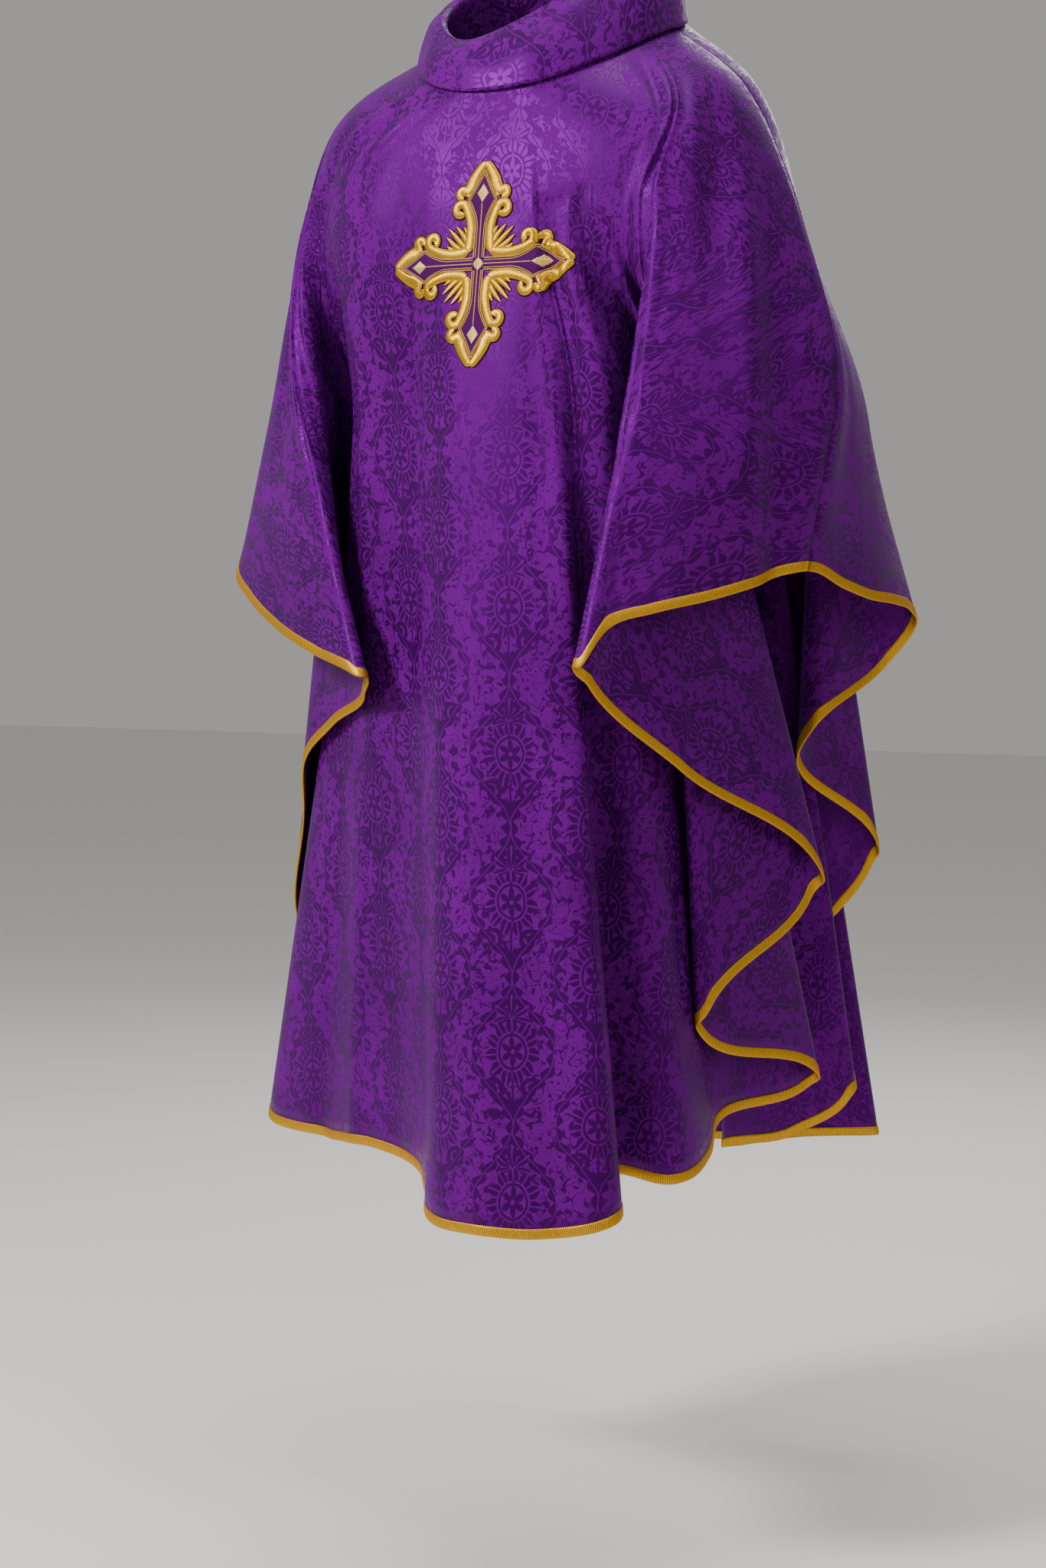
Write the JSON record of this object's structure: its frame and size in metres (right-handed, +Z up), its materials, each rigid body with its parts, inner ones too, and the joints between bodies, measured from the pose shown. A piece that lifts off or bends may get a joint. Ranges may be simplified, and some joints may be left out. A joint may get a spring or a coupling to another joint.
{
  "type": "chasuble",
  "caption": "Full purple damask chasuble in its worn, hollow form, with a roll collar, gold bound hem and an embroidered cross on the chest.",
  "frame": {"origin": "middle of the neck opening, at the height of the neck seam at the sides, where the wearer holds the garment up", "axes": "+Z up; the wearer faces -Y, so the wearer's left arm is at +X"},
  "size_m": [0.6993, 0.6505, 1.3153],
  "materials": {
    "front_panel": "satin damask",
    "back_panel": "satin damask",
    "collar": "satin damask",
    "front_binding": "gold braid",
    "back_binding": "gold braid",
    "cross_emblem": "gold satin stitch"
  },
  "bodies": {
    "root": {"front_panel": "front_panel", "back_panel": "back_panel", "collar": "collar", "front_binding": "front_binding", "back_binding": "back_binding", "cross_emblem": "cross_emblem"}
  },
  "joints": []
}
